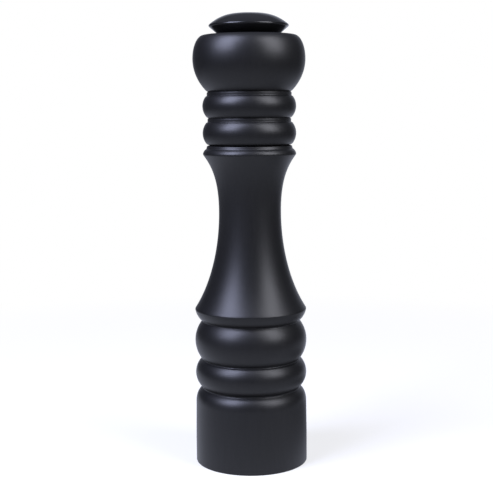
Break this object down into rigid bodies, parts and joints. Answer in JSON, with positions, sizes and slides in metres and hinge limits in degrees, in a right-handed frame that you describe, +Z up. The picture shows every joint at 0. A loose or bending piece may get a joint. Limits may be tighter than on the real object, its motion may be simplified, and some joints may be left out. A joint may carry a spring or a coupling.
{
  "type": "pepper mill",
  "caption": "Tall turned wooden hand mill with a ball head, screw-down disc knob, through shaft, peppercorn chamber and adjustable conical burrs in the base.",
  "frame": {"origin": "on the mill's axis, in the plane that it stands on", "axes": "+Z up along the axis from base to knob; the mill is round, so +X and +Y are free, set square to the flats of its shaft"},
  "size_m": [0.064, 0.064, 0.254],
  "materials": {
    "black_lacquer": "turned beech under satin black lacquer",
    "knob_lacquer": "turned beech under glossier black lacquer",
    "zinc_steel": "bright zinc plate on pressed steel",
    "spring_steel": "drawn spring wire and hardened strip",
    "shaft_aluminium": "drawn square bar, plain",
    "burr_steel": "sintered and hardened carbon steel",
    "brass": "turned, plain",
    "acetal": "natural moulded acetal"
  },
  "bodies": {
    "body": {"body": "black_lacquer", "bridge": "zinc_steel", "bridge_bushing": "acetal", "stator": "burr_steel", "retaining_plate": "zinc_steel", "retaining_screw_1": "zinc_steel", "retaining_screw_2": "zinc_steel", "retaining_screw_3": "zinc_steel"},
    "thrust_washer": {"thrust_washer": "zinc_steel", "spring": "spring_steel"},
    "shaft": {"shaft": "shaft_aluminium", "rotor": "burr_steel", "rotor_washer": "zinc_steel", "push_nut": "spring_steel"},
    "head": {"head": "black_lacquer", "drive_plate": "zinc_steel", "drive_plate_screw_1": "zinc_steel", "drive_plate_screw_2": "zinc_steel", "drive_plate_screw_3": "zinc_steel"},
    "knob": {"knob": "knob_lacquer", "knob_insert": "brass", "knob_washer": "acetal"}
  },
  "joints": [
    {"name": "grind_turn", "type": "hinge", "parent": "body", "child": "thrust_washer", "pos_m": [0, 0, 0.0252], "axis": [0, 0, 1], "continuous": true},
    {"name": "grind_adjust", "type": "slide", "parent": "thrust_washer", "child": "shaft", "axis": [0, 0, 1], "range_m": [-0.0012, 0.0003], "deforming": ["spring"]},
    {"name": "head_lift", "type": "slide", "parent": "thrust_washer", "child": "head", "axis": [0, 0, 1], "range_m": [0, 0.1]},
    {"name": "knob_turn", "type": "hinge", "parent": "head", "child": "knob", "pos_m": [0, 0, 0.2424], "axis": [0, 0, -1], "range_deg": [-550, 143]}
  ],
  "couplings": [
    {"joint": "knob_turn", "follows": "grind_adjust", "rad_per_m": 7854}
  ]
}
